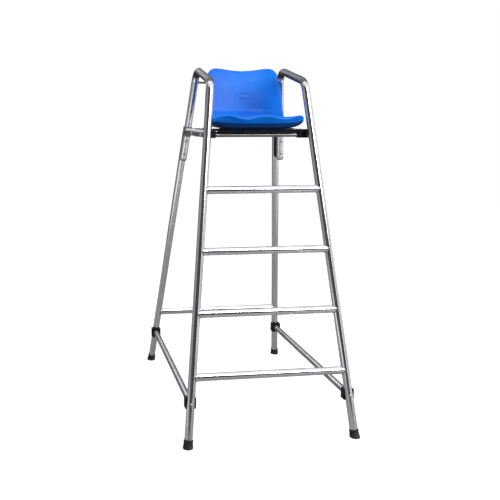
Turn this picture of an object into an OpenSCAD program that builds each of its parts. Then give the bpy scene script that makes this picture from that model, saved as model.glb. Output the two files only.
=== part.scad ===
// Lifeguard chair: bent tube side frames, a four rung ladder, bolted rear legs and braces,
// and a double wall moulded bucket seat. Origin on the floor, midway between the four feet.
// +Y points to the back, +Z is up, and the front of the chair faces -Y.
// Left is the -X side and right is the +X side, as seen by someone who stands in front.

/* [Frame] */
// Distance between the left and right feet, centre to centre
foot_span = 810; // [700:5:950]
// Length of a side rail, from the front leg's axis to the post's axis
rail_length = 479; // [460:1:520]
// Height of the armrest tube's highest point at the rear bend
total_height = 1765; // [1730:5:1860]
// Drop from the armrest's highest point to its front corner, where the leg and armrest axes meet
arm_drop = 82; // [60:1:110]
// Inward tilt of each side frame, in degrees
splay_angle = 5.7; // [3:0.1:7]
// Backward lean of the ladder, in degrees
ladder_lean = 12; // [9:0.5:13]
// Forward lean of the rear legs and posts, in degrees
rear_lean = 13.3; // [11:0.1:15]
// Outer diameter of the main tubes
tube_od = 38; // [32:1:42]
// Wall thickness of all tubes
tube_wall = 2; // [1.2:0.1:3]
// Centre line radius of the armrest bends
bend_radius = 65; // [55:1:80]
// Horizontal distance from a post axis back to its rear leg axis
leg_setback = 61; // [56:1:70]
// Distance that a rear leg stands inward of its post
leg_inset = 6; // [0:1:12]
// Rise of a rear leg's upper end above the rail's axis
leg_top_rise = 22; // [20:1:50]
// Drop from the rail's axis to the post's lower end
stub_drop = 155; // [130:5:200]

/* [Ladder] */
// Outer diameter of the rungs
rung_od = 36; // [30:1:36]
// Height of the lowest rung
first_rung_height = 310; // [280:5:340]
// Vertical distance from rung to rung
rung_pitch = 285; // [260:5:300]
// Height of the bar between the rear legs
rear_bar_height = 328; // [280:2:400]

/* [Seat support] */
// Height of the side rails' axis
rail_height = 1430; // [1420:1:1436]
// Outer diameter of the side rails
rail_od = 38; // [34:1:38]
// Outer diameter of the two crossbars under the seat
crossbar_od = 21; // [20:1:25]
// Drop from the rails' axis to the crossbars' axis
crossbar_drop = 7; // [5:1:7]
// Distance from a front leg's axis back to the front crossbar and strap
front_support_back = 62; // [58:1:75]
// Distance from the backrest's top forward to the rear crossbar and strap
rear_support_ahead = 90; // [85:1:110]
// Distance from a rail's axis to the inner face of the black block that carries crossbar and strap
block_reach = 51; // [48:1:56]
// Height of those blocks
block_height = 42; // [40:1:44]
// Width of a seat strap
strap_width = 40; // [36:1:42]
// Thickness of a seat strap
strap_thickness = 6; // [5:0.5:7]
// Depth of the flange under the front strap's front edge
flange_depth = 11; // [6:1:14]
// Drop from the armrest's highest point to the rod behind the backrest
back_rod_drop = 75; // [70:5:130]
// Diameter of the rod behind the backrest
back_rod_od = 12; // [10:1:16]

/* [Braces and saddles] */
// Outer diameter of the lower braces
brace_od = 32; // [28:1:36]
// Height of the lower braces' axis
brace_height = 196; // [180:2:230]
// Width of a saddle across the tube that it grips
saddle_width = 52; // [48:1:58]
// Height of a saddle along the tube that it grips
saddle_height = 54; // [46:1:60]
// Distance from the gripped tube's axis to the saddle's flat face
saddle_reach = 33; // [30:1:38]
// Length of the spigot that enters the braced tube
spigot_length = 26; // [20:1:34]
// Width of the black strip between a post and its rear leg
spacer_width = 30; // [24:1:32]

/* [Feet and plugs] */
// Diameter of a rubber foot at the floor
foot_od = 50; // [48:1:58]
// Height of a rubber foot
foot_height = 48; // [40:1:60]
// Rubber under the tube's end
foot_sole = 8; // [6:0.5:12]
// Length of an end plug inside its tube
plug_depth = 18; // [12:1:25]

/* [Fasteners] */
// Bolt shank diameter
bolt_od = 8; // [6:0.5:8]
// Diameter of a domed bolt head
head_od = 15; // [13:0.5:16]
// Height of a domed bolt head
head_height = 5; // [4:0.5:6]
// Nut width across flats
nut_flats = 13; // [12:0.5:14]
// Nut height
nut_height = 6.5; // [5:0.5:7]

/* [Seat] */
// Half width of the seat pan at its front corners
pan_half_width = 231; // [200:1:231]
// Half width of the backrest at its top
back_half_width = 190; // [160:1:200]
// Height of the backrest's centre above the straps
back_rise = 297; // [280:1:315]
// Horizontal distance from the backrest's top back to the posts' axis
back_gap = 42; // [36:1:60]
// Rise of the front edge's waves
front_wave = 9; // [0:0.5:10]
// Distance of the front edge's middle wave from the chair's middle
wave_shift = 31; // [0:1:35]
// Dip in the middle of the backrest's top edge
top_dip = 14; // [0:1:24]
// Diameter of the bosses that stand on the straps
boss_od = 34; // [28:1:40]
// Height of the bosses
boss_height = 24; // [20:1:28]
// Distance of the seat's bolts from the chair's middle
seat_bolt_x = 120; // [100:5:140]
// Width of the raised plate on the backrest
plate_width = 74; // [60:1:90]
// Height of the raised plate on the backrest
plate_height = 37; // [28:1:45]

/* [Hidden] */

$fn = 64;
// Gap between seated pieces, and around a tube in its socket
clear = 0.3;
// Gap around a bolt shank in its hole
bolt_clear = 0.4;
// Length that a cutter runs past the solid it cuts
over = 1;
// A bend laps its straight tubes by this angle, and is this much fatter
bend_lap = 1;
bend_swell = 0.15;
tube_r = tube_od / 2;
rung_r = rung_od / 2;
rail_r = rail_od / 2;
crossbar_r = crossbar_od / 2;
brace_r = brace_od / 2;
hole_d = bolt_od + 2 * bolt_clear;
steel = [0.78, 0.79, 0.81];
black = [0.08, 0.08, 0.09];
blue = [0.05, 0.3, 0.85];
brass = [0.72, 0.57, 0.25];

// Heights that follow from the sizes above
foot_depth = rail_length + rail_height * (tan(ladder_lean) + tan(rear_lean)) + leg_setback;
arm_front_height = total_height - arm_drop;
leg_top_height = rail_height + leg_top_rise;
stub_end_height = rail_height - stub_drop;
back_rod_height = total_height - back_rod_drop;

// Axes of the left side's tubes, as points at a height
function side_x(z) = -foot_span / 2 + z * tan(splay_angle);
function front_at(z) = [side_x(z), -foot_depth / 2 + z * tan(ladder_lean), z];
function leg_at(z) = [side_x(z) + leg_inset, foot_depth / 2 - z * tan(rear_lean), z];
function post_at(z) = leg_at(z) - [leg_inset, leg_setback, 0];
function flip(p) = [-p.x, p.y, p.z];
function unit(v) = v / norm(v);
function turn_angle(a, b, c) = acos(unit(b - a) * unit(c - b));

// The armrest runs from the front corner up to the rear corner
arm_front = front_at(arm_front_height);
arm_rear = post_at(total_height - tube_r * 0.45);
stub_end = post_at(stub_end_height);
leg_top = leg_at(leg_top_height);
rail_front = front_at(rail_height);
rail_rear = post_at(rail_height);
rail_top = rail_height + rail_r;
// The straps' tops are level with the rails' tops
strap_bottom = rail_top - strap_thickness;
strap_top = rail_top;
// The seat starts just ahead of the front legs and ends ahead of the posts
rim_height = 68.6;
seat_overhang = 14;
seat_front_y = front_at(strap_top + rim_height).y - seat_overhang;
seat_depth = post_at(strap_top + back_rise).y - back_gap - seat_front_y;
front_support_y = rail_front.y + front_support_back;
rear_support_y = seat_front_y + seat_depth - rear_support_ahead;
crossbar_height = rail_height - crossbar_drop;
// The leg is bolted to the post at these two heights
leg_bolt_heights = [stub_end_height + 35, rail_height - 50];
// A rail grips its post with a collar
collar_wall = 3.5;
collar_height = 50;
collar_r = tube_r + clear + collar_wall;

// Puts its children at a, with their Z axis pointing at b
module aim(a, b) {
    d = b - a;
    translate(a) rotate([0, acos(d.z / norm(d)), atan2(d.y, d.x)]) children();
}

// A rod from a to b, run on past both ends by extra
module rod(a, b, r, extra = 0) {
    aim(a, b) translate([0, 0, -extra]) cylinder(r = r, h = norm(b - a) + 2 * extra);
}

// A rod that starts along +Z and bends towards +Y by each turn, after each length
module bent_rod(r, lengths, turns, i = 0) {
    cylinder(r = r, h = lengths[i]);
    if (i < len(turns)) translate([0, bend_radius, lengths[i]]) {
        multmatrix([[0, 0, -1, 0], [-1, 0, 0, 0], [0, 1, 0, 0]])
            rotate([0, 0, -bend_lap]) rotate_extrude(angle = turns[i] + 2 * bend_lap)
                translate([bend_radius, 0]) circle(r + bend_swell);
        rotate([-turns[i], 0, 0]) translate([0, -bend_radius, 0]) bent_rod(r, lengths, turns, i + 1);
    }
}

// A flat outline with round corners, centred
module round_rect(w, h, r) {
    square([w - 2 * r, h], center = true);
    square([w, h - 2 * r], center = true);
    for (x = [-1, 1], y = [-1, 1]) translate([x * (w / 2 - r), y * (h / 2 - r)]) circle(r);
}

// A domed bolt head standing on the XY plane, with its shank below
module bolt(shank) {
    dome_r = (head_od * head_od / 4 + head_height * head_height) / (2 * head_height);
    difference() {
        intersection() {
            translate([0, 0, head_height - dome_r]) sphere(dome_r);
            cylinder(d = head_od, h = head_height + over);
        }
        translate([0, 0, head_height - 2.2]) cylinder(d = 5.6, h = 3, $fn = 6);
    }
    translate([0, 0, -shank]) cylinder(d = bolt_od, h = shank);
}

// A hexagonal nut standing on the XY plane
module nut() {
    difference() {
        cylinder(d = nut_flats / cos(30), h = nut_height, $fn = 6);
        translate([0, 0, -over]) cylinder(d = bolt_od + 2 * clear, h = nut_height + 2 * over);
    }
}

// Keeps the left piece or mirrors it to the right
module side(right) {
    mirror([right ? 1 : 0, 0, 0]) children();
}

// Both sides at once
module both_sides() {
    children();
    mirror([1, 0, 0]) children();
}

// Bolt lines, each from the head's seat to the far end, on the left side
brace_bolt_front = front_at(brace_height);
brace_bolt_rear = leg_at(brace_height);
front_bar_joint = [side_x(rail_height), front_support_y, crossbar_height];
rear_bar_joint = [side_x(rail_height), rear_support_y, crossbar_height];
rail_spigot_length = front_support_back + 18;
rail_bolt_rear = rail_rear;

// Direction from a post to its leg, square to both
post_line = unit(post_at(1) - post_at(0));
across = let (d = [leg_inset, leg_setback, 0]) d - post_line * (d * post_line);
across_unit = unit(across);
across_gap = norm(across);

// The side frame's tube as a leg, an armrest and a post between two bends
frame_foot = front_at(foot_sole + 2);
front_turn = turn_angle(frame_foot, arm_front, arm_rear);
rear_turn = turn_angle(arm_front, arm_rear, stub_end);
front_lead = bend_radius * tan(front_turn / 2);
rear_lead = bend_radius * tan(rear_turn / 2);
frame_turns = [front_turn, rear_turn];
frame_lengths = [
    norm(arm_front - frame_foot) - front_lead,
    norm(arm_rear - arm_front) - front_lead - rear_lead,
    norm(stub_end - arm_rear) - rear_lead
];

// Puts its children at the frame's foot, Z along the leg and Y towards the armrest
module frame_start() {
    up = unit(arm_front - frame_foot);
    arm = arm_rear - arm_front;
    inward = unit(arm - up * (arm * up));
    normal = cross(inward, up);
    translate(frame_foot) multmatrix([
        [normal.x, inward.x, up.x, 0],
        [normal.y, inward.y, up.y, 0],
        [normal.z, inward.z, up.z, 0]
    ]) children();
}

module side_frame(right) {
    bore_lengths = frame_lengths + [over, 0, over];
    color(steel) side(right) difference() {
        frame_start() difference() {
            bent_rod(tube_r, frame_lengths, frame_turns);
            translate([0, 0, -over]) bent_rod(tube_r - tube_wall, bore_lengths, frame_turns);
        }
        rod(brace_bolt_front - [0, tube_od, 0], brace_bolt_front + [0, tube_od, 0], hole_d / 2);
        rod(rail_rear - [tube_od, 0, 0], rail_rear + [tube_od, 0, 0], hole_d / 2);
        leg_bolt_holes();
    }
}

// The two bolt holes through post, spacer and leg
module leg_bolt_holes() {
    for (z = leg_bolt_heights) {
        p = post_at(z);
        rod(p - across_unit * tube_od, p + across_unit * (across_gap + tube_od), hole_d / 2);
    }
}

module rear_leg(right) {
    foot = leg_at(foot_sole + 2);
    color(steel) side(right) difference() {
        rod(foot, leg_top, tube_r);
        rod(foot, leg_top, tube_r - tube_wall, over);
        rod(brace_bolt_rear - [0, tube_od, 0], brace_bolt_rear + [0, tube_od, 0], hole_d / 2);
        leg_bolt_holes();
    }
}

// A tube across the chair between two mirrored points, its ends shaped to the legs
module cross_tube(end, r) {
    color(steel) difference() {
        rod(end, flip(end), r);
        rod(end, flip(end), r - tube_wall, over);
        both_sides() children();
    }
}

module front_leg_solid(extra) {
    rod(front_at(0), arm_front, tube_r + extra);
}

module rear_leg_solid(extra) {
    rod(leg_at(0), leg_top, tube_r + extra);
}

// The bed that a leg needs in a brace's saddle
module leg_bed(low, high) {
    aim(low, high) rotate([0, 0, 150]) cylinder(r = tube_r + clear, h = norm(high - low));
}

module rung(i) {
    cross_tube(front_at(first_rung_height + i * rung_pitch), rung_r) front_leg_solid(clear);
}

module rear_bar() {
    cross_tube(leg_at(rear_bar_height), rung_r) rear_leg_solid(clear);
}

// Side rail: a tube with a collar round the post, its front end over a spigot on the front leg
module seat_rail(right) {
    collar_low = post_at(rail_height - collar_height / 2);
    collar_high = post_at(rail_height + collar_height / 2);
    color(steel) side(right) difference() {
        union() {
            rod(rail_front, rail_rear, rail_r);
            rod(collar_low, collar_high, collar_r);
        }
        rod(rail_front, rail_rear - [0, collar_r, 0], rail_r - tube_wall);
        rod(collar_low, collar_high, tube_r + clear, over);
        front_leg_solid(clear);
        for (p = [front_bar_joint, rear_bar_joint, rail_rear])
            rod(p - [tube_od, 0, 0], p + [tube_od, 0, 0], hole_d / 2);
    }
}

// Short tubes that stand out of the front legs and carry the rails' front ends
module rail_spigots() {
    spigot_r = rail_r - tube_wall - clear;
    tip = rail_front + [0, rail_spigot_length, 0];
    color(steel) both_sides() difference() {
        rod(rail_front, tip, spigot_r);
        rod(rail_front, tip, spigot_r - tube_wall - 1, over);
        front_leg_solid(clear);
        rod(front_bar_joint - [tube_od, 0, 0], front_bar_joint + [tube_od, 0, 0], hole_d / 2);
    }
}

// Half of a crossbar's length, between its blocks' flat faces
bar_half = -side_x(rail_height) - block_reach - clear;

module seat_crossbar(y) {
    a = [-bar_half, y, crossbar_height];
    color(steel) difference() {
        rod(a, flip(a), crossbar_r);
        rod(a, flip(a), crossbar_r - tube_wall, over);
    }
}

// A moulded saddle: it seats on the tube given as its child and carries a spigot along +Z
module saddle(height, tube_bore) {
    color(black) difference() {
        union() {
            linear_extrude(saddle_reach) round_rect(saddle_width, height, saddle_corner);
            translate([0, 0, saddle_reach]) cylinder(r = tube_bore - clear, h = spigot_length);
        }
        translate([0, 0, -over]) cylinder(d = hole_d, h = saddle_reach + spigot_length + 2 * over);
        children();
    }
}

saddle_corner = 5;

// Turns a saddle so that it points from p along the direction d, level with the floor
module saddle_at(p, d) {
    translate(p) multmatrix([
        [-d.y, 0, d.x, 0],
        [d.x, 0, d.y, 0],
        [0, 1, 0, 0]
    ]) children();
}

// Block on a rail's inner half: its spigot enters the crossbar, its pocket holds the strap's end
module bar_saddle(right, front) {
    joint = front ? front_bar_joint : rear_bar_joint;
    middle = [joint.x, joint.y, rail_height];
    color(black) side(right) difference() {
        union() {
            saddle_at(middle, [1, 0, 0]) linear_extrude(block_reach)
                round_rect(saddle_width, block_height, saddle_corner);
            rod(joint, joint + [block_reach + spigot_length, 0, 0], crossbar_r - tube_wall - clear);
        }
        rod(joint, joint + [block_reach + spigot_length, 0, 0], hole_d / 2, over);
        rod(rail_front, rail_rear, rail_r + clear);
        translate([-strap_end - clear, joint.y - strap_width / 2 - clear, strap_bottom - clear])
            cube([2 * block_reach, strap_width + 2 * clear, block_height]);
        translate([-strap_bolt_x, joint.y, strap_top + clear - strap_bolt_shank - 0.8])
            cylinder(d = hole_d, h = block_height);
    }
}

module brace_saddle(right, front) {
    joint = front ? brace_bolt_front : brace_bolt_rear;
    color(black) side(right) difference() {
        saddle_at(joint, [0, front ? 1 : -1, 0])
            saddle(saddle_height, brace_r - tube_wall);
        if (front) leg_bed(front_at(0), arm_front);
        else leg_bed(leg_at(0), leg_top);
    }
}

module brace(right) {
    a = brace_bolt_front + [0, saddle_reach + clear, 0];
    b = brace_bolt_rear - [0, saddle_reach + clear, 0];
    color(steel) side(right) difference() {
        rod(a, b, brace_r);
        rod(a, b, brace_r - tube_wall, over);
    }
}

// Where a bolt's head seats on the outside of a tube of radius r
head_seat = tube_r / cos(ladder_lean) + clear;
brace_grip = head_seat + saddle_reach + spigot_length + nut_height + 2;

module brace_bolts() {
    color(steel) both_sides() {
        aim(brace_bolt_front - [0, head_seat, 0], brace_bolt_front - [0, 2 * head_seat, 0]) bolt(brace_grip);
        aim(brace_bolt_rear + [0, head_seat, 0], brace_bolt_rear + [0, 2 * head_seat, 0]) bolt(brace_grip);
    }
}

module brace_nuts() {
    reach = saddle_reach + spigot_length + clear;
    color(steel) both_sides() {
        aim(brace_bolt_front + [0, reach, 0], brace_bolt_front + [0, 2 * reach, 0]) nut();
        aim(brace_bolt_rear - [0, reach, 0], brace_bolt_rear - [0, 2 * reach, 0]) nut();
    }
}

module crossbar_bolts() {
    seat = rail_r + clear;
    color(steel) both_sides() for (p = [front_bar_joint, rear_bar_joint])
        aim(p - [seat, 0, 0], p - [2 * seat, 0, 0])
            bolt(seat + block_reach + spigot_length + nut_height + 2);
}

module crossbar_nuts() {
    reach = block_reach + spigot_length + clear;
    color(steel) both_sides() for (p = [front_bar_joint, rear_bar_joint])
        aim(p + [reach, 0, 0], p + [2 * reach, 0, 0]) nut();
}

module rail_bolts() {
    rear_seat = collar_r / cos(splay_angle) + clear;
    color(steel) both_sides()
        aim(rail_bolt_rear - [rear_seat, 0, 0], rail_bolt_rear - [2 * rear_seat, 0, 0])
            bolt(rear_seat + tube_r);
}

// Strip with a hollow on each side, between a post and its leg
module leg_spacer(right) {
    low = post_at(stub_end_height + 2);
    high = post_at(rail_height - collar_height / 2 - 6);
    mid_low = low + across / 2;
    mid_high = high + across / 2;
    width_dir = cross(post_line, across_unit);
    color(black) side(right) difference() {
        translate(mid_low) multmatrix([
            [across_unit.x, width_dir.x, post_line.x, 0],
            [across_unit.y, width_dir.y, post_line.y, 0],
            [across_unit.z, width_dir.z, post_line.z, 0]
        ])
            linear_extrude(norm(mid_high - mid_low)) round_rect(across_gap, spacer_width, 2);
        rod(low, high, tube_r + clear, tube_od);
        rod(low + across, high + across, tube_r + clear, tube_od);
        leg_bolt_holes();
    }
}

module leg_bolts() {
    color(steel) both_sides() for (z = leg_bolt_heights) {
        p = post_at(z) - across_unit * (tube_r + clear);
        aim(p, p - across_unit) bolt(across_gap + tube_od + 2 * clear + nut_height);
    }
}

module leg_nuts() {
    color(steel) both_sides() for (z = leg_bolt_heights) {
        p = post_at(z) + across_unit * (across_gap + tube_r + clear);
        aim(p, p + across_unit) nut();
    }
}

// The straps end just inside the rails, and are bolted down into the blocks
strap_end = -side_x(rail_height) - rail_r - 3;
strap_bolt_x = strap_end - 14;
strap_bolt_shank = 18;
flange_half = 175;
flange_thickness = 3;

module seat_strap(y, flange = false) {
    color(black) {
        difference() {
            translate([0, y, strap_bottom])
                linear_extrude(strap_thickness) round_rect(2 * strap_end, strap_width, 6);
            for (x = [-strap_bolt_x, strap_bolt_x, -seat_bolt_x, seat_bolt_x])
                translate([x, y, strap_bottom - over]) cylinder(d = hole_d, h = strap_thickness + 2 * over);
        }
        if (flange) translate([0, y - strap_width / 2, strap_bottom]) rotate([-90, 0, 0])
            linear_extrude(flange_thickness) polygon([
                [-flange_half - 28, -1], [flange_half + 28, -1], [flange_half + 28, 1],
                [flange_half, flange_depth], [-flange_half, flange_depth], [-flange_half - 28, 1]
            ]);
    }
}

module strap_bolts() {
    color(steel) both_sides() for (y = [front_support_y, rear_support_y])
        translate([-strap_bolt_x, y, strap_top + clear]) bolt(strap_bolt_shank);
}

module back_rod() {
    end = post_at(back_rod_height) + [tube_r / cos(splay_angle) + clear, 0, 0];
    color(steel) rod(end, flip(end), back_rod_od / 2);
}

// Rubber foot on the tube whose axis runs from low to high
module foot(right, low, high) {
    color(black) side(right) difference() {
        union() {
            intersection() {
                aim(low, high) translate([0, 0, -foot_od])
                    cylinder(r1 = foot_od / 2 + 4, r2 = tube_r + 2.5, h = foot_height + foot_od);
                translate([low.x, low.y, foot_sole]) cylinder(d = 3 * foot_od, h = foot_height);
            }
            translate([low.x, low.y, 0]) cylinder(d = foot_od, h = foot_sole + 2);
        }
        rod(low + unit(high - low) * foot_sole, high, tube_r + clear);
    }
}

module end_plug(tip, into) {
    aim(tip, into) translate([0, 0, -3]) {
        cylinder(r = tube_r, h = 3 - clear);
        cylinder(r = tube_r - tube_wall - clear, h = plug_depth);
    }
}

module stub_plugs() {
    color(black) both_sides() end_plug(stub_end, post_at(rail_height));
}

module leg_plugs() {
    color(black) both_sides() end_plug(leg_top, leg_at(rail_height));
}

// Threaded inserts in the bosses under the seat
insert_od = 13;
insert_depth = 10;
insert_gap = 1;
// Seat form. Each row: back, up, thickness, half width, rise of the side edges
bend_back = seat_depth - 74;
function pan_back(t) = 90 + (bend_back - 90) * t;
seat_rows = [
    [0, 44, 29, pan_half_width - 12, 5],
    [4, 45, 41, pan_half_width - 4, 5],
    [14, 42.3, 49.6, pan_half_width - 1, 4],
    [32, 36.8, 57.6, pan_half_width, 4],
    [60, 31.8, 58.6, pan_half_width, 5],
    [90, 27.8, 51.6, pan_half_width, 8],
    [pan_back(0.4), 21.8, 39.6, pan_half_width - 2, 15],
    [pan_back(0.76), 21.8, 39.6, back_half_width + 28, 17],
    [bend_back, 41, 38, back_half_width + 21, 24],
    [seat_depth - 48, 80, 30, back_half_width + 20, 28],
    [seat_depth - 36, 139, 25, back_half_width + 17, 30],
    [seat_depth - 24, back_rise - 105, 23, back_half_width + 13, 30],
    [seat_depth - 12, back_rise - 50, 22, back_half_width + 7, 28],
    [seat_depth, back_rise, 16, back_half_width, 24]
];
// Drop of the top edge at its round corners
corner_drop = 41;
// The front edge curves back by this much at its corners
corner_back = 20;
// Length of one wave of the front edge
wave_length = pan_half_width * 0.88;
// Where the plate sits along the seat's length, and how far it stands out
plate_s = 0.81;
plate_rise = 2;
seat_steps = 44;
loop_steps = 48;

// Smooth curve through the rows: s runs from 0 to 1
function blend_rows(a, b, c, d, t) =
    0.5 * (2 * b + (c - a) * t + (2 * a - 5 * b + 4 * c - d) * t * t + (3 * b - 3 * c + d - a) * t * t * t);
function row_at(i) = seat_rows[max(0, min(len(seat_rows) - 1, i))];
function seat_row(s) =
    let (x = s * (len(seat_rows) - 1), i = min(floor(x), len(seat_rows) - 2))
    blend_rows(row_at(i - 1), row_at(i), row_at(i + 1), row_at(i + 2), x - i);
function ramp(x) = let (c = max(0, min(1, x))) c * c * (3 - 2 * c);
// Extra height of the edges: waves at the front, a dip and round corners at the top
function front_rise(s, u, v) =
    front_wave * (1 + v) / 2 * ramp(1 - s * 2.8) * cos(360 * (u * pan_half_width - wave_shift) / wave_length);
function top_rise(s, u) =
    ramp((s - 0.72) / 0.28) * (top_dip * (1 - cos(200 * u)) / 2 - corner_drop * pow(abs(u), 10));

// Share of the edges' rise that the skin takes: under the pan it stays nearly flat
function edge_follow(s, v) = 1 - (1 - v) / 2 * (0.75 - 0.65 * ramp((s - 0.42) / 0.3));

// One point of the seat's skin: u runs across, v is 1 on the sitter's side and -1 underneath
function seat_point(s, u, v) =
    let (
        row = seat_row(s),
        ahead = seat_row(min(1, s + 0.01)),
        behind = seat_row(max(0, s - 0.01)),
        along = unit([ahead[0] - behind[0], ahead[1] - behind[1]]),
        normal = [-along[1], along[0]],
        lift = edge_follow(s, v) * row[4] * pow(abs(u), 2.4) + v * row[2] / 2,
        rise = front_rise(s, u, v)
    )
    [
        u * row[3],
        row[0] + normal[0] * lift + along[0] * top_rise(s, u) + corner_back * ramp(1 - s * 3) * u * u,
        row[1] + normal[1] * lift + along[1] * top_rise(s, u) + rise
    ];

// One loop round the seat at s: over the top, then back underneath, where its edges are rounder
function seat_loop(s) = [
    for (k = [0 : loop_steps - 1])
        let (a = 360 * k / loop_steps, c = cos(a), w = sin(a))
        seat_point(s, sign(c) * pow(abs(c), 0.4), w < 0 ? -pow(-w, 1.25) : pow(w, 0.5))
];

module seat_skin() {
    loops = [for (i = [0 : seat_steps]) seat_loop(i / seat_steps)];
    points = [for (loop = loops) each loop];
    n = loop_steps;
    walls = [
        for (i = [0 : seat_steps - 1], k = [0 : n - 1])
            let (a = i * n + k, b = i * n + (k + 1) % n)
            each [[a, b, b + n], [a, b + n, a + n]]
    ];
    last = seat_steps * n;
    caps = [
        for (k = [1 : n / 2 - 1]) each [
            [k, (n - k + 1) % n, n - k], [k, k - 1, (n - k + 1) % n]
        ]
    ];
    front_cap = [for (t = caps) if (t[0] != t[2] && t[1] != t[2]) t];
    rear_cap = [for (t = front_cap) [last + t[0], last + t[2], last + t[1]]];
    polyhedron(points, concat(walls, [front_tip(n)], front_cap, [rear_tip(n, last)], rear_cap));
}

// The two triangles that close the caps at their far edge
function front_tip(n) = [n / 2, n / 2 - 1, n / 2 + 1];
function rear_tip(n, last) = [last + n / 2, last + n / 2 + 1, last + n / 2 - 1];

// A blank raised plate on the front of the backrest
module seat_plate() {
    low = seat_point(plate_s - 0.01, 0, 1);
    high = seat_point(plate_s + 0.01, 0, 1);
    translate((low + high) / 2) rotate([atan2(high.z - low.z, high.y - low.y), 0, 0])
        translate([0, 0, -4]) linear_extrude(4 + plate_rise) round_rect(plate_width, plate_height, 3);
}

module seat_shell() {
    color(blue) translate([0, seat_front_y, strap_top]) difference() {
        union() {
            seat_skin();
            seat_plate();
            for (x = [-seat_bolt_x, seat_bolt_x], y = [front_support_y, rear_support_y])
                translate([x, y - seat_front_y, clear]) cylinder(d = boss_od, h = boss_height);
        }
        for (x = [-seat_bolt_x, seat_bolt_x], y = [front_support_y, rear_support_y])
            translate([x, y - seat_front_y, -over])
                cylinder(d = insert_od + 2 * clear, h = insert_gap + insert_depth + over + clear);
    }
}

module seat_bolts() {
    color(steel) seat_bolt_places()
        mirror([0, 0, 1]) translate([0, 0, clear - strap_bottom]) bolt(strap_thickness + insert_depth);
}

module seat_inserts() {
    color(brass) seat_bolt_places() translate([0, 0, strap_top + insert_gap]) difference() {
        cylinder(d = insert_od, h = insert_depth);
        translate([0, 0, -over]) cylinder(d = bolt_od + 2 * clear, h = insert_depth + 2 * over);
    }
}

// The four places where the seat is bolted to its straps
module seat_bolt_places() {
    both_sides() for (y = [front_support_y, rear_support_y]) translate([-seat_bolt_x, y, 0]) children();
}

side_frame(false);  // left_side_frame
side_frame(true);  // right_side_frame
rear_leg(false);  // left_rear_leg
rear_leg(true);  // right_rear_leg
rung(0);  // rung_1
rung(1);  // rung_2
rung(2);  // rung_3
rung(3);  // rung_4
rear_bar();
seat_rail(false);  // left_seat_rail
seat_rail(true);  // right_seat_rail
rail_spigots();
seat_crossbar(front_support_y);  // front_seat_crossbar
seat_crossbar(rear_support_y);  // rear_seat_crossbar
bar_saddle(false, true);  // front_left_bar_saddle
bar_saddle(true, true);  // front_right_bar_saddle
bar_saddle(false, false);  // rear_left_bar_saddle
bar_saddle(true, false);  // rear_right_bar_saddle
seat_strap(front_support_y, true);  // front_seat_strap
seat_strap(rear_support_y);  // rear_seat_strap
strap_bolts();
back_rod();
leg_spacer(false);  // left_leg_spacer
leg_spacer(true);  // right_leg_spacer
leg_bolts();
leg_nuts();
brace(false);  // left_brace
brace(true);  // right_brace
brace_saddle(false, true);  // front_left_brace_saddle
brace_saddle(true, true);  // front_right_brace_saddle
brace_saddle(false, false);  // rear_left_brace_saddle
brace_saddle(true, false);  // rear_right_brace_saddle
brace_bolts();
brace_nuts();
crossbar_bolts();
crossbar_nuts();
rail_bolts();
foot(false, front_at(0), arm_front);  // front_left_foot
foot(true, front_at(0), arm_front);  // front_right_foot
foot(false, leg_at(0), leg_top);  // rear_left_foot
foot(true, leg_at(0), leg_top);  // rear_right_foot
stub_plugs();
leg_plugs();
seat_shell();
seat_bolts();
seat_inserts();
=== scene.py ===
"""Looks of a pool lifeguard chair: polished tube frame, black moulded fittings and a blue bucket seat."""

import logging
import math
from dataclasses import dataclass, field
from enum import Enum
from typing import Callable, Iterable, Sequence

import bpy
import numpy as np
from mathutils import Matrix, Vector


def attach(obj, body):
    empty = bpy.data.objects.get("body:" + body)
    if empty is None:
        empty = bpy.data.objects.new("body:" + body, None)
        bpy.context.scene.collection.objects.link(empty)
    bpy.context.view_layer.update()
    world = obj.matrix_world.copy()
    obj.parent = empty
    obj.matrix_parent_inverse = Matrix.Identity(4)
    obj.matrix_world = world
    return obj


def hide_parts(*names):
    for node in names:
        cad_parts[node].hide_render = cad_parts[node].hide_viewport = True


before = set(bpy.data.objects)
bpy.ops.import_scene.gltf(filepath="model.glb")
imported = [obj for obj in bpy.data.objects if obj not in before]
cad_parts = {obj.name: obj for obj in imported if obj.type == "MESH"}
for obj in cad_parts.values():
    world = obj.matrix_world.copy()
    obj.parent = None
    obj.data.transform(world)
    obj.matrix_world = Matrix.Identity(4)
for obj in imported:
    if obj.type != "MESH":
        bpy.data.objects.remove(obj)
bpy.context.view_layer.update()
LOG = logging.getLogger("lifeguard_chair")
Point = np.ndarray
Faces = list[tuple[int, ...]]
Axis = Callable[["Side", float], Point]
Triple = tuple[float, float, float]
Colour = Triple
Socket = bpy.types.NodeSocket
Material = bpy.types.Material
ROOT = "root"
# One turn in radians, the points of each bend and the chair's three directions.
FULL_TURN = 2 * np.pi
ARC_POINTS = 26
ACROSS = np.array([1.0, 0.0, 0.0])
BACK = np.array([0.0, 1.0, 0.0])
UP = np.array([0.0, 0.0, 1.0])


class Side(Enum):
    """The two mirrored halves of the chair, as seen by someone in front of the ladder."""

    LEFT = -1
    RIGHT = 1


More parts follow.
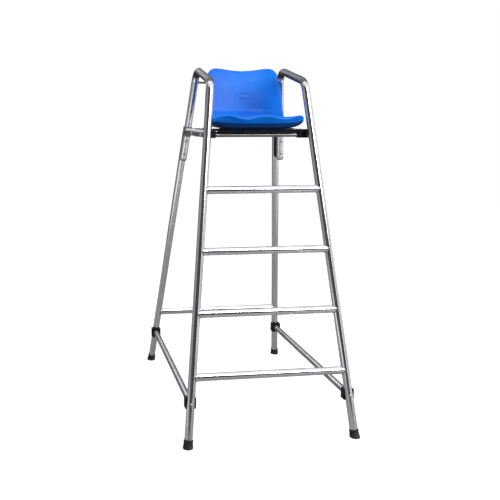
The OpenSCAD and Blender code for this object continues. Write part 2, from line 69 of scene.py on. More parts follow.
# Sizes
@dataclass(frozen=True)
class ChairSizes:
    """Driving sizes of the frame, in metres and degrees. They are the same as in the solids."""

    foot_span: float = 0.810
    rail_length: float = 0.479
    total_height: float = 1.765
    arm_drop: float = 0.082
    splay: float = 5.7
    ladder_lean: float = 12.0
    rear_lean: float = 13.3
    tube_radius: float = 0.019
    bend_radius: float = 0.065
    leg_setback: float = 0.061
    leg_inset: float = 0.006
    leg_top_rise: float = 0.022
    stub_drop: float = 0.155
    rung_radius: float = 0.018
    first_rung: float = 0.310
    rung_pitch: float = 0.285
    rung_count: int = 4
    rear_bar_height: float = 0.328
    rail_height: float = 1.430
    foot_sole: float = 0.008
    tube_lift: float = 0.002

    @property
    def foot_depth(self) -> float:
        """Distance between the front and rear feet."""
        leans = math.tan(math.radians(self.ladder_lean)) + math.tan(math.radians(self.rear_lean))
        return self.rail_length + self.rail_height * leans + self.leg_setback

    @property
    def arm_front_height(self) -> float:
        """Height of the armrest's front corner."""
        return self.total_height - self.arm_drop

    @property
    def tube_start(self) -> float:
        """Height at which a leg's tube begins, inside its foot."""
        return self.foot_sole + self.tube_lift

    @property
    def leg_top_height(self) -> float:
        """Height of a rear leg's upper end."""
        return self.rail_height + self.leg_top_rise

    @property
    def stub_end_height(self) -> float:
        """Height of a post's lower end."""
        return self.rail_height - self.stub_drop

    def side_x(self, z: float) -> float:
        """Distance of a leg's axis from the middle plane at height z."""
        return self.foot_span / 2 - z * math.tan(math.radians(self.splay))

    def front_at(self, side: Side, z: float) -> Point:
        """Point of a front leg's axis at height z."""
        lean = math.tan(math.radians(self.ladder_lean))
        return np.array([side.value * self.side_x(z), -self.foot_depth / 2 + z * lean, z])

    def leg_at(self, side: Side, z: float) -> Point:
        """Point of a rear leg's axis at height z."""
        lean = math.tan(math.radians(self.rear_lean))
        x = self.side_x(z) - self.leg_inset
        return np.array([side.value * x, self.foot_depth / 2 - z * lean, z])

    def post_at(self, side: Side, z: float) -> Point:
        """Point of a rear post's axis at height z."""
        return self.leg_at(side, z) + np.array([side.value * self.leg_inset, -self.leg_setback, 0.0])

    def rung_height(self, index: int) -> float:
        """Height of a rung's axis, counted from the lowest."""
        return self.first_rung + index * self.rung_pitch


SIZES = ChairSizes()


def unit(vector: Point) -> Point:
    """The vector at length one."""
    return vector / np.linalg.norm(vector)


# Meshes
def mesh_object(name: str, points: Point, faces: Faces, material: Material) -> bpy.types.Object:
    """Makes a mesh object and puts it into the scene.

    Args:
        name: Name of the object and of its mesh.
        points: Its points, one per row.
        faces: Its faces, as indices into those points.
        material: Its finish.

    Returns:
        The new object.
    """
    mesh = bpy.data.meshes.new(name)
    mesh.from_pydata(points.tolist(), [], faces)
    mesh.materials.append(material)
    made = bpy.data.objects.new(name, mesh)
    bpy.context.scene.collection.objects.link(made)
    return made


@dataclass
class Skin:
    """A mesh under construction: points, faces and a number per point for each attribute."""

    name: str
    points: list[Point] = field(default_factory=list)
    faces: Faces = field(default_factory=list)
    values: dict[str, list[float]] = field(default_factory=dict)

    def add(self, points: Point, faces: Faces, **values: Point) -> "Skin":
        """Adds a patch.

        Args:
            points: The patch's points, one per row.
            faces: Its faces, as indices into those points.
            values: Attribute values, one per point.

        Returns:
            The skin itself.
        """
        start = sum(len(p) for p in self.points)
        for key in set(values) | set(self.values):
            held = self.values.setdefault(key, [0.0] * start)
            held.extend(list(values[key]) if key in values else [0.0] * len(points))
        self.points.append(points)
        self.faces.extend(tuple(start + i for i in f) for f in faces)
        return self

    def build(self, material: Material, smooth: bool = True) -> bpy.types.Object:
        """Makes the Blender object and lets it ride on the chair.

        Args:
            material: The finish of the whole piece.
            smooth: Whether its faces are shaded smooth.

        Returns:
            The new object.
        """
        piece = mesh_object(self.name, np.concatenate(self.points), self.faces, material)
        for key, numbers in self.values.items():
            layer = piece.data.attributes.new(key, "FLOAT", "POINT")
            layer.data.foreach_set("value", np.array(numbers, np.float32))
        piece.data.polygons.foreach_set("use_smooth", [smooth] * len(piece.data.polygons))
        piece.data.validate()
        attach(piece, ROOT)
        LOG.info("built %s with %d faces", self.name, len(self.faces))
        return piece


def grid_faces(rows: int, columns: int, closed: bool = True, flip: bool = False) -> Faces:
    """Quads between rows of points.

    Args:
        rows: Number of rows.
        columns: Points in each row.
        closed: Whether each row closes on itself.
        flip: Whether the faces look the other way.

    Returns:
        The faces, as indices.
    """
    faces = []
    for i in range(rows - 1):
        for k in range(columns if closed else columns - 1):
            a, b = i * columns + k, i * columns + (k + 1) % columns
            quad = (a, b, b + columns, a + columns)
            faces.append(quad[::-1] if flip else quad)
    return faces


def path_frames(path: Point, closed: bool = False) -> tuple[Point, Point]:
    """Two directions across a path at each of its points, which don't twist along it.

    Args:
        path: Points of the path, one per row.
        closed: Whether the last point joins the first.

    Returns:
        First and second crossing directions, one per row.
    """
    if closed:
        ahead = np.roll(path, -1, 0) - np.roll(path, 1, 0)
    else:
        ahead = np.gradient(path, axis=0)
    tangents = ahead / np.linalg.norm(ahead, axis=1)[:, None]
    first = np.zeros_like(path)
    start = ACROSS if abs(tangents[0][0]) < 0.8 else UP
    for i, t in enumerate(tangents):
        start = unit(start - t * (start @ t))
        first[i] = start
    return first, np.cross(tangents, first)


def ring_points(path: Point, radii: Point, crossing: tuple[Point, Point], sides: int) -> Point:
    """Points of the rings of a round tube, ring after ring.

    Args:
        path: Centres of the rings, one per row.
        radii: Radius of each ring.
        crossing: First and second direction across the path at each centre.
        sides: Points round each ring.

    Returns:
        The points, one per row.
    """
    first, second = crossing
    angles = np.linspace(0, FULL_TURN, sides, endpoint=False)
    ring = (np.cos(angles)[None, :, None] * first[:, None]
            + np.sin(angles)[None, :, None] * second[:, None])
    return (path[:, None] + radii[:, None, None] * ring).reshape(-1, 3)


def line(a: Point, b: Point, step: float = 0.012) -> Point:
    """Evenly spaced points from a to b."""
    count = max(2, int(np.linalg.norm(b - a) / step) + 1)
    return a + (b - a) * np.linspace(0, 1, count)[:, None]


def rounded_path(corners: Sequence[Point], radius: float, step: float = 0.012) -> Point:
    """A path through corners, each of them rounded by an arc.

    Args:
        corners: Start, corners and end.
        radius: Radius of every arc.
        step: Spacing of the points on the straight parts.

    Returns:
        Points of the path, one per row.
    """
    parts, start = [], corners[0]
    for before, corner, after in zip(corners, corners[1:], corners[2:]):
        u, v = unit(corner - before), unit(after - corner)
        turn = math.acos(float(np.clip(u @ v, -1, 1)))
        lead = radius * math.tan(turn / 2)
        enter = corner - u * lead
        inward = unit(v - u * (v @ u))
        centre = enter + inward * radius
        parts.append(line(start, enter, step)[:-1])
        arc = np.linspace(0, turn, ARC_POINTS)[:-1, None]
        parts.append(centre - inward * radius * np.cos(arc) + u * radius * np.sin(arc))
        start = corner + v * lead
    parts.append(line(start, corners[-1], step))
    return np.concatenate(parts)


def lathe(origin: Point, axis: Point, profile: Sequence[tuple[float, float]],
          sides: int = 64) -> tuple[Point, Faces]:
    """A turned form.

    Args:
        origin: Where the profile's height is zero.
        axis: Its axis.
        profile: Height and radius of each ring.
        sides: Points round each ring.

    Returns:
        Points and faces.
    """
    w = unit(axis)
    u = unit(np.cross(w, BACK if abs(w[1]) < 0.9 else ACROSS))
    v = np.cross(w, u)
    angles = np.linspace(0, FULL_TURN, sides, endpoint=False)
    rings = [origin + w * h + r * (np.cos(angles)[:, None] * u + np.sin(angles)[:, None] * v)
             for h, r in profile]
    return np.concatenate(rings), grid_faces(len(profile), sides)


# Finishes
class Shader:
    """The node tree of one material, with short ways to add to it."""

    def __init__(self, name: str) -> None:
        """Starts a material.

        Args:
            name: Name of the material.
        """
        self.material = bpy.data.materials.new(name)
        self.material.use_nodes = True
        self.tree = self.material.node_tree
        self.surface = self.tree.nodes["Principled BSDF"]

    def set(self, **values: object) -> "Shader":
        """Sets sockets of the surface; an underscore in a name stands for a space."""
        for key, value in values.items():
            self.surface.inputs[key.replace("_", " ")].default_value = value
        return self

    def node(self, kind: str, **settings: object) -> bpy.types.Node:
        """Adds a node and sets its properties."""
        made = self.tree.nodes.new(kind)
        for key, value in settings.items():
            setattr(made, key, value)
        return made

    def join(self, source: Socket, target: Socket) -> None:
        """Links two sockets."""
        self.tree.links.new(source, target)

    def attribute(self, name: str) -> Socket:
        """The value of a mesh attribute, or 0 where the mesh has none."""
        return self.node("ShaderNodeAttribute", attribute_name=name).outputs["Fac"]

    def place(self, scale: Triple = (1, 1, 1)) -> Socket:
        """Coordinates on the object, in metres, stretched by a scale."""
        spot = self.node("ShaderNodeTexCoord").outputs["Object"]
        mapping = self.node("ShaderNodeMapping")
        mapping.inputs["Scale"].default_value = scale
        self.join(spot, mapping.inputs["Vector"])
        return mapping.outputs["Vector"]

    def tube_place(self, along: float, around: float) -> Socket:
        """Coordinates on a tube's skin, from its own attributes, each times a scale."""
        both = self.node("ShaderNodeCombineXYZ")
        for name, scale, axis in (("along", along, "X"), ("around", around, "Y")):
            self.join(self.math("MULTIPLY", self.attribute(name), scale), both.inputs[axis])
        return both.outputs[0]

    def noise(self, where: Socket, scale: float, detail: float = 3.0, rough: float = 0.5) -> Socket:
        """A noise value from 0 to 1."""
        made = self.node("ShaderNodeTexNoise")
        made.inputs["Scale"].default_value = scale
        made.inputs["Detail"].default_value = detail
        made.inputs["Roughness"].default_value = rough
        self.join(where, made.inputs["Vector"])
        return made.outputs["Fac"]

    def spread(self, value: Socket, low: float, high: float, to_low: float, to_high: float) -> Socket:
        """Maps a value from one range to another, without leaving it."""
        made = self.node("ShaderNodeMapRange")
        for key, number in (("From Min", low), ("From Max", high), ("To Min", to_low), ("To Max", to_high)):
            made.inputs[key].default_value = number
        self.join(value, made.inputs["Value"])
        return made.outputs["Result"]

    def blend(self, share: Socket, a: Socket | Colour, b: Socket | Colour) -> Socket:
        """A colour between a and b, each a colour or a socket."""
        made = self.node("ShaderNodeMix", data_type="RGBA")
        self.join(share, made.inputs["Factor"])
        for key, colour in (("A", a), ("B", b)):
            socket = [s for s in made.inputs if s.name == key and s.type == "RGBA"][0]
            if isinstance(colour, Socket):
                self.join(colour, socket)
            else:
                socket.default_value = (*colour, 1.0)
        return [s for s in made.outputs if s.type == "RGBA"][0]

    def math(self, operation: str, a: Socket, b: Socket | float) -> Socket:
        """A sum, product or the like of two values."""
        made = self.node("ShaderNodeMath", operation=operation)
        self.join(a, made.inputs[0])
        if isinstance(b, Socket):
            self.join(b, made.inputs[1])
        else:
            made.inputs[1].default_value = b
        return made.outputs[0]

    def bump(self, height: Socket, strength: float, distance: float) -> None:
        """Lets a height stand out of the surface, on top of any bump that it has."""
        made = self.node("ShaderNodeBump")
        made.inputs["Strength"].default_value = strength
        made.inputs["Distance"].default_value = distance
        self.join(height, made.inputs["Height"])
        normal = self.surface.inputs["Normal"]
        if normal.links:
            self.join(normal.links[0].from_socket, made.inputs["Normal"])
        self.join(made.outputs["Normal"], normal)

    def colour(self, source: Socket) -> None:
        """Gives the surface its colour."""
        self.join(source, self.surface.inputs["Base Color"])

    def roughness(self, source: Socket) -> None:
        """Gives the surface its roughness."""
        self.join(source, self.surface.inputs["Roughness"])


@dataclass(frozen=True)
class PolishedTube:
    """Polished stainless tube, tinted by heat beside the welds; the armrests are rougher, and their much
    darker colour is painted shade for the dim reflection they show.
    """

    name: str = "polished_tube"
    bright: Colour = (0.76, 0.76, 0.78)
    smudge: Colour = (0.70, 0.70, 0.73)
    armrest: Colour = (0.082, 0.082, 0.086)
    straw: Colour = (0.50, 0.37, 0.20)
    gloss: float = 0.13
    satin: float = 0.52
    gloss_spread: float = 0.07
    line_rough: float = 0.03
    heat_rough: float = 0.12
    line_scale: tuple[float, float] = (5.0, 1500.0)

    def make(self) -> Material:
        """Builds the material."""
        s = Shader(self.name).set(Metallic=1.0)
        cloud = s.noise(s.place(), 9.0, 4.0, 0.6)
        satin, heat = s.attribute("satin"), s.attribute("heat")
        steel = s.blend(s.spread(cloud, 0.35, 0.75, 0, 1), self.bright, self.smudge)
        # Painted shade: the armrests' much darker colour paints in their dim reflection; only their higher
        # roughness is a real finish.
        steel_with_armrest_shade = s.blend(satin, steel, self.armrest)
        s.colour(s.blend(heat, steel_with_armrest_shade, self.straw))
        lines = s.noise(s.tube_place(*self.line_scale), 1.0, 2.0, 0.5)
        rough = s.spread(cloud, 0.3, 0.8, self.gloss, self.gloss + self.gloss_spread)
        rough = s.math("ADD", rough, s.spread(lines, 0.4, 0.8, 0.0, self.line_rough))
        rough = s.math("ADD", rough, s.math("MULTIPLY", satin, self.satin - self.gloss))
        s.roughness(s.math("ADD", rough, s.math("MULTIPLY", heat, self.heat_rough)))
        s.bump(lines, strength=0.03, distance=0.0002)
        s.bump(s.noise(s.place(), 1400.0, 2.0), strength=0.02, distance=0.0002)
        return s.material


@dataclass(frozen=True)
class DullTubePaintedShade(PolishedTube):
    """Brushed tube of the seat support, without the mirror gloss of the frame, in a far darker colour that
    is painted shade under the seat.
    """

    name: str = "dull_tube_painted_shade"
    # Painted shade: far darker than the frame's steel, for the shade under the seat.
    bright: Colour = (0.25, 0.25, 0.26)
    smudge: Colour = (0.18, 0.18, 0.185)
    gloss: float = 0.40


@dataclass(frozen=True)
class BraceTube(PolishedTube):
    """Satin tube of the lower braces, handled and scuffed more than the ladder."""

    name: str = "brace_tube"
    bright: Colour = (0.46, 0.46, 0.47)
    smudge: Colour = (0.36, 0.36, 0.37)
    gloss: float = 0.36


@dataclass(frozen=True)
class Grain:
    """A fine noise that stands out of a surface, with its scale, strength and depth in metres."""

    scale: float
    strength: float
    depth: float


@dataclass(frozen=True)
class CloudedFinish:
    """A finish of two colours in soft clouds, with a roughness that follows them.

    Attributes:
        name: Name of the material.
        main: Its main colour.
        second: The colour of the clouds.
        cloud: Scale and detail of the clouds.
        share: Values of the clouds between which the second colour comes up.
        rough: Lowest and highest roughness.
        rough_cloud: Values of the clouds between which the roughness rises.
        metallic: Whether it is bare metal, as 0 or 1.
        specular: Strength of the mirror on anything but metal.
        grain: Its grain, if it has one.
    """

    name: str
    main: Colour
    second: Colour
    cloud: tuple[float, float]
    share: tuple[float, float]
    rough: tuple[float, float]
    rough_cloud: tuple[float, float] = (0.3, 0.8)
    metallic: float = 0.0
    specular: float = 0.5
    grain: Grain | None = None

    def make(self) -> Material:
        """Builds the material."""
        s = Shader(self.name).set(Metallic=self.metallic, Specular_IOR_Level=self.specular)
        cloud = s.noise(s.place(), *self.cloud)
        s.colour(s.blend(s.spread(cloud, *self.share, 0, 1), self.main, self.second))
        s.roughness(s.spread(cloud, *self.rough_cloud, *self.rough))
        if self.grain:
            s.bump(s.noise(s.place(), self.grain.scale, 2.0), self.grain.strength, self.grain.depth)
        return s.material


WELD_METAL = CloudedFinish(
    "weld_bead", (0.42, 0.42, 0.43), (0.34, 0.27, 0.20), cloud=(160.0, 3.0), share=(0.45, 0.7),
    rough=(0.28, 0.42), rough_cloud=(0.3, 0.7), metallic=1.0, grain=Grain(900.0, 0.12, 0.0003))
BOLT_STEEL = CloudedFinish(
    "bolt_steel", (0.55, 0.56, 0.58), (0.22, 0.22, 0.22), cloud=(240.0, 3.0), share=(0.55, 0.85),
    rough=(0.22, 0.4), metallic=1.0, grain=Grain(1600.0, 0.06, 0.0002))
BLACK_PLASTIC = CloudedFinish(
    "black_plastic", (0.004, 0.004, 0.005), (0.014, 0.014, 0.015), cloud=(60.0, 4.0), share=(0.5, 0.8),
    rough=(0.42, 0.57), specular=0.18, grain=Grain(1500.0, 0.18, 0.0002))
STRAP_PAINT = CloudedFinish(
    "black_strap", (0.004, 0.004, 0.006), (0.016, 0.016, 0.020), cloud=(45.0, 4.0), share=(0.55, 0.8),
    rough=(0.3, 0.42), specular=0.12, grain=Grain(420.0, 0.1, 0.0004))
INSERT_BRASS = CloudedFinish(
    "insert_brass", (0.62, 0.46, 0.18), (0.36, 0.26, 0.11), cloud=(300.0, 3.0), share=(0.4, 0.75),
    rough=(0.25, 0.4), metallic=1.0)


@dataclass(frozen=True)
class FootRubber:
    """Black rubber, scuffed and dusty near the floor."""

    name: str = "foot_rubber"
    black: Colour = (0.014, 0.014, 0.014)
    dust: Colour = (0.085, 0.08, 0.072)
    dust_height: float = 0.022
    dust_share: float = 0.55

    def make(self) -> Material:
        """Builds the material."""
        s = Shader(self.name).set(Specular_IOR_Level=0.35)
        parts = s.node("ShaderNodeSeparateXYZ")
        s.join(s.place(), parts.inputs[0])
        low = s.spread(parts.outputs["Z"], 0.0, self.dust_height, self.dust_share, 0.0)
        cloud = s.spread(s.noise(s.place(), 90.0, 4.0), 0.4, 0.75, 0.2, 1)
        s.colour(s.blend(s.math("MULTIPLY", low, cloud), self.black, self.dust))
        s.roughness(s.spread(cloud, 0, 1, 0.6, 0.8))
        s.bump(s.noise(s.place(), 700.0, 3.0), strength=0.2, distance=0.0003)
        return s.material


@dataclass(frozen=True)
class BlueShell:
    """Glossy blow-moulded blue plastic with soft waves, fine grain and faint handling marks, and a painted
    shade that its groove attribute lays on.
    """

    name: str = "blue_shell"
    blue: Colour = (0.003, 0.135, 0.66)
    pale: Colour = (0.006, 0.180, 0.76)
    painted_shade_navy: Colour = (0.001, 0.010, 0.050)

    def make(self) -> Material:
        """Builds the material."""
        s = Shader(self.name).set(Specular_IOR_Level=0.10, Coat_Weight=0.02, Coat_Roughness=0.15)
        cloud = s.noise(s.place(), 5.0, 3.0)
        body = s.blend(s.spread(cloud, 0.35, 0.7, 0, 1), self.blue, self.pale)
        # Painted shade: the groove attribute darkens the blue to near black navy underneath the seat, on its
        # bosses and on the plate's walls.
        s.colour(s.blend(s.attribute("groove"), body, self.painted_shade_navy))
        scuff = s.noise(s.place((1, 6, 1)), 60.0, 5.0, 0.7)
        s.roughness(s.spread(scuff, 0.35, 0.8, 0.27, 0.42))
        s.bump(s.noise(s.place(), 11.0, 2.0), strength=0.12, distance=0.004)
        s.bump(s.noise(s.place(), 1300.0, 2.0), strength=0.07, distance=0.0003)
        return s.material


@dataclass
class Finishes:
    """Every finish of the chair, made once."""

    tube: Material = field(default_factory=PolishedTube().make)
    dull_tube_painted_shade: Material = field(default_factory=DullTubePaintedShade().make)
    brace: Material = field(default_factory=BraceTube().make)
    weld: Material = field(default_factory=WELD_METAL.make)
    bolt: Material = field(default_factory=BOLT_STEEL.make)
    plastic: Material = field(default_factory=BLACK_PLASTIC.make)
    rubber: Material = field(default_factory=FootRubber().make)
    strap: Material = field(default_factory=STRAP_PAINT.make)
    brass: Material = field(default_factory=INSERT_BRASS.make)
    shell: Material = field(default_factory=BlueShell().make)


def dress_nodes(names: Iterable[str], material: Material) -> None:
    """Gives carried-over solids their finish.

    Args:
        names: The solids' names.
        material: Their finish.
    """
    for name in names:
        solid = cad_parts[name]
        for slot in solid.material_slots:
            slot.material = material
        if not solid.material_slots:
            solid.data.materials.append(material)
        LOG.info("dressed %s in %s", name, material.name)


# Frame tubes
@dataclass
class FrameTube:
    """One length of tube that takes the place of its solid, with its own skin coordinates."""

    node: str
    path: Point
    radius: float
    sides: int = 64
    hot: Sequence[Point] = ()
    satin: Callable[[Point], Point] | None = None
    wall: float = 0.002
    edge: float = 0.0004
    heat: float = 0.55
    heat_reach: float = 0.012

    @staticmethod
    def doubled_ends(rows: Point) -> Point:
        """The rows with the first and the last of them twice more, for the rings that round both ends."""
        return np.vstack([rows[:1], rows[:1], rows, rows[-1:], rows[-1:]])

    def build(self, finishes: Finishes) -> None:
        """Builds the tube with an open ring at both ends."""
        path = self.doubled_ends(self.path)
        radii = np.full(len(path), self.radius)
        radii[0] = radii[-1] = self.radius - self.wall
        radii[1] = radii[-2] = self.radius - self.edge
        inward = unit(self.path[1] - self.path[0]) * self.edge
        outward = unit(self.path[-1] - self.path[-2]) * self.edge
        path[2], path[-3] = path[2] + inward, path[-3] - outward
        first, second = path_frames(self.path)
        points = ring_points(path, radii, (self.doubled_ends(first), self.doubled_ends(second)), self.sides)
        faces = grid_faces(len(path), self.sides)
        lengths = np.concatenate([[0], np.cumsum(np.linalg.norm(np.diff(path, axis=0), axis=1))])
        turn = np.arange(self.sides) / self.sides * FULL_TURN * self.radius
        values = {"along": np.repeat(lengths, self.sides), "around": np.tile(turn, len(path))}
        if self.hot:
            nearest = np.min([np.linalg.norm(points - h, axis=1) for h in self.hot], axis=0)
            values["heat"] = self.heat * np.exp(-(((nearest - self.radius) / self.heat_reach) ** 2))
        if self.satin:
            values["satin"] = np.repeat(self.satin(path), self.sides)
        piece = Skin(f"{self.node}_tube").add(points, faces, **values).build(finishes.tube)
        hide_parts(self.node)


@dataclass
class SideFrame:
    """Front leg, armrest and rear post, bent from one tube."""

    side: Side
    corner_sink: float = 0.45
    satin_end: float = 0.985
    satin_fade: float = 0.03
    satin_start: float = 0.4
    satin_depth: float = 0.03

    def build(self, finishes: Finishes) -> None:
        """Builds the bent tube in place of its solid."""
        foot = SIZES.front_at(self.side, SIZES.tube_start)
        front = SIZES.front_at(self.side, SIZES.arm_front_height)
        rear = SIZES.post_at(self.side, SIZES.total_height - SIZES.tube_radius * self.corner_sink)
        stub = SIZES.post_at(self.side, SIZES.stub_end_height)
        path = rounded_path([foot, front, rear, stub], SIZES.bend_radius)
        arm = rear - front

        def satin(points: Point) -> Point:
            """Share of the armrest's rougher finish and its painted shade at points of the axis: full on the
            armrest.
            """
            share = (points - front) @ arm / (arm @ arm)
            inside = np.minimum(share, self.satin_end - share) / self.satin_fade
            high = points[:, 2] > SIZES.arm_front_height - self.satin_depth
            return np.clip(inside + self.satin_start, 0, 1) * high

        hot = [SIZES.front_at(self.side, SIZES.rung_height(i)) for i in range(SIZES.rung_count)]
        FrameTube(f"{self.side.name.lower()}_side_frame", path, SIZES.tube_radius, hot=hot,
                  satin=satin).build(finishes)


@dataclass
class RearLeg:
    """Straight rear leg."""

    side: Side

    def build(self, finishes: Finishes) -> None:
        """Builds the leg in place of its solid."""
        path = line(SIZES.leg_at(self.side, SIZES.tube_start), SIZES.leg_at(self.side, SIZES.leg_top_height))
        hot = [SIZES.leg_at(self.side, SIZES.rear_bar_height)]
        FrameTube(f"{self.side.name.lower()}_rear_leg", path, SIZES.tube_radius, hot=hot).build(finishes)


@dataclass
class CrossWelds:
    """The weld beads round both ends of one cross tube, between two legs and at a height."""

    name: str
    leg: Axis
    height: float
    radius: float = SIZES.rung_radius
    bead: float = 0.0026
    sink: float = 0.0006
    ripples: int = 34
    ripple_points: int = 6
    ripple_height: float = 0.10
    swell: float = 0.06
    swell_ripples: float = 7.3
    sides: int = 10

    def curve(self, side: Side, count: int) -> Point:
        """Where the cross tube's skin meets the leg's skin.

        Args:
            side: Which end.
            count: Number of points.

        Returns:
            Points of the closed curve, one per row.
        """
        w = unit(self.leg(side, 1.0) - self.leg(side, 0.0))
        inward = -side.value * ACROSS
        angles = np.linspace(0, FULL_TURN, count, endpoint=False)
        ring = self.radius * (np.cos(angles)[:, None] * BACK + np.sin(angles)[:, None] * UP)
        across = ring - (ring @ w)[:, None] * w
        step = inward - (inward @ w) * w
        a = step @ step
        b = 2 * across @ step
        c = np.sum(across * across, 1) - SIZES.tube_radius ** 2
        t = (-b + np.sqrt(np.maximum(b * b - 4 * a * c, 0))) / (2 * a)
        return self.leg(side, self.height) + ring + t[:, None] * inward

    def build(self, finishes: Finishes) -> None:
        """Builds both beads as one piece."""
        skin = Skin(f"{self.name}_weld")
        sides, count = self.sides, self.ripples * self.ripple_points
        for side in Side:
            path = self.curve(side, count) - side.value * self.sink * ACROSS
            phase = np.arange(count) / count * FULL_TURN * self.ripples
            ripple = self.ripple_height * np.abs(np.sin(phase / 2))
            swell = self.swell * np.sin(phase / self.swell_ripples)
            radius = self.bead * (1 + ripple + swell)
            points = ring_points(path, radius, path_frames(path, closed=True), sides)
            faces = grid_faces(count, sides)
            last = (count - 1) * sides
            faces += [(last + k, last + (k + 1) % sides, (k + 1) % sides, k) for k in range(sides)]
            skin.add(points, faces)
        piece = skin.build(finishes.weld)


@dataclass
class Ladder:
    """The four rungs, the bar between the rear legs and their weld beads."""

    nodes: tuple[str, ...] = ("rung_1", "rung_2", "rung_3", "rung_4")
    bar: str = "rear_bar"

    def build(self, finishes: Finishes) -> None:
        """Dresses the tubes and builds the beads."""
        dress_nodes((*self.nodes, self.bar), finishes.tube)
        for i, node in enumerate(self.nodes):
            CrossWelds(node, SIZES.front_at, SIZES.rung_height(i)).build(finishes)
        CrossWelds(self.bar, SIZES.leg_at, SIZES.rear_bar_height).build(finishes)


@dataclass
class SeatSupport:
    """Side rails, crossbars, braces, straps and the rod behind the backrest."""

    dull: tuple[str, ...] = ("left_seat_rail", "right_seat_rail", "rail_spigots", "front_seat_crossbar",
                             "rear_seat_crossbar", "back_rod")
    braces: tuple[str, ...] = ("left_brace", "right_brace")
    straps: tuple[str, ...] = ("front_seat_strap", "rear_seat_strap")

    def dress(self, finishes: Finishes) -> None:
        """Gives the solids their finishes."""
        dress_nodes(self.dull, finishes.dull_tube_painted_shade)
        dress_nodes(self.braces, finishes.brace)
        dress_nodes(self.straps, finishes.strap)


@dataclass
class Fittings:
    """Moulded saddles, strips and plugs, and every bolt, nut and insert."""

    moulded: tuple[str, ...] = (
        "front_left_bar_saddle", "front_right_bar_saddle", "rear_left_bar_saddle", "rear_right_bar_saddle",
        "front_left_brace_saddle", "front_right_brace_saddle", "rear_left_brace_saddle",
        "rear_right_brace_saddle", "left_leg_spacer", "right_leg_spacer", "stub_plugs", "leg_plugs")
    metal: tuple[str, ...] = ("strap_bolts", "leg_bolts", "leg_nuts", "brace_bolts", "brace_nuts",
                              "crossbar_bolts", "crossbar_nuts", "rail_bolts", "seat_bolts")
    brass: tuple[str, ...] = ("seat_inserts",)

    def dress(self, finishes: Finishes) -> None:
        """Gives the solids their finishes."""
        dress_nodes(self.moulded, finishes.plastic)
        dress_nodes(self.metal, finishes.bolt)
        dress_nodes(self.brass, finishes.brass)


@dataclass
class Foot:
    """A rubber foot with a lip, one groove and a flared base, cut level with the floor."""

    node: str
    side: Side
    leg: Axis
    height: float = 0.0375
    base: float = 0.0242
    groove: float = 0.0235
    rubber: float = 0.0026
    clearance: float = 0.0002

    def build(self, finishes: Finishes) -> None:
        """Builds the foot in place of its solid."""
        low = self.leg(self.side, 0.0)
        top, inner = SIZES.tube_radius + self.rubber, SIZES.tube_radius + self.clearance
        base, groove, end = self.base, self.groove, self.height
        profile = [(-0.006, 0.0005), (-0.006, base), (0.004, base), (0.0085, base - 0.0005),
                   (0.0105, base - 0.0016), (0.014, top + 0.0014), (0.019, top + 0.0009),
                   (groove - 0.0028, top + 0.0006), (groove - 0.0016, top - 0.0004), (groove, top - 0.0008),
                   (groove + 0.0016, top - 0.0004), (groove + 0.0028, top + 0.0004),
                   (end - 0.008, top), (end - 0.006, top + 0.0011), (end - 0.0035, top + 0.0014),
                   (end - 0.001, top + 0.0010), (end, top), (end, inner), (end - 0.012, inner)]
        points, faces = lathe(low, self.leg(self.side, 1.0) - low, profile)
        points[:, 2] = np.maximum(points[:, 2], 0.0)
        piece = Skin(f"{self.node}_boot").add(points, faces).build(finishes.rubber)
        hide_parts(self.node)


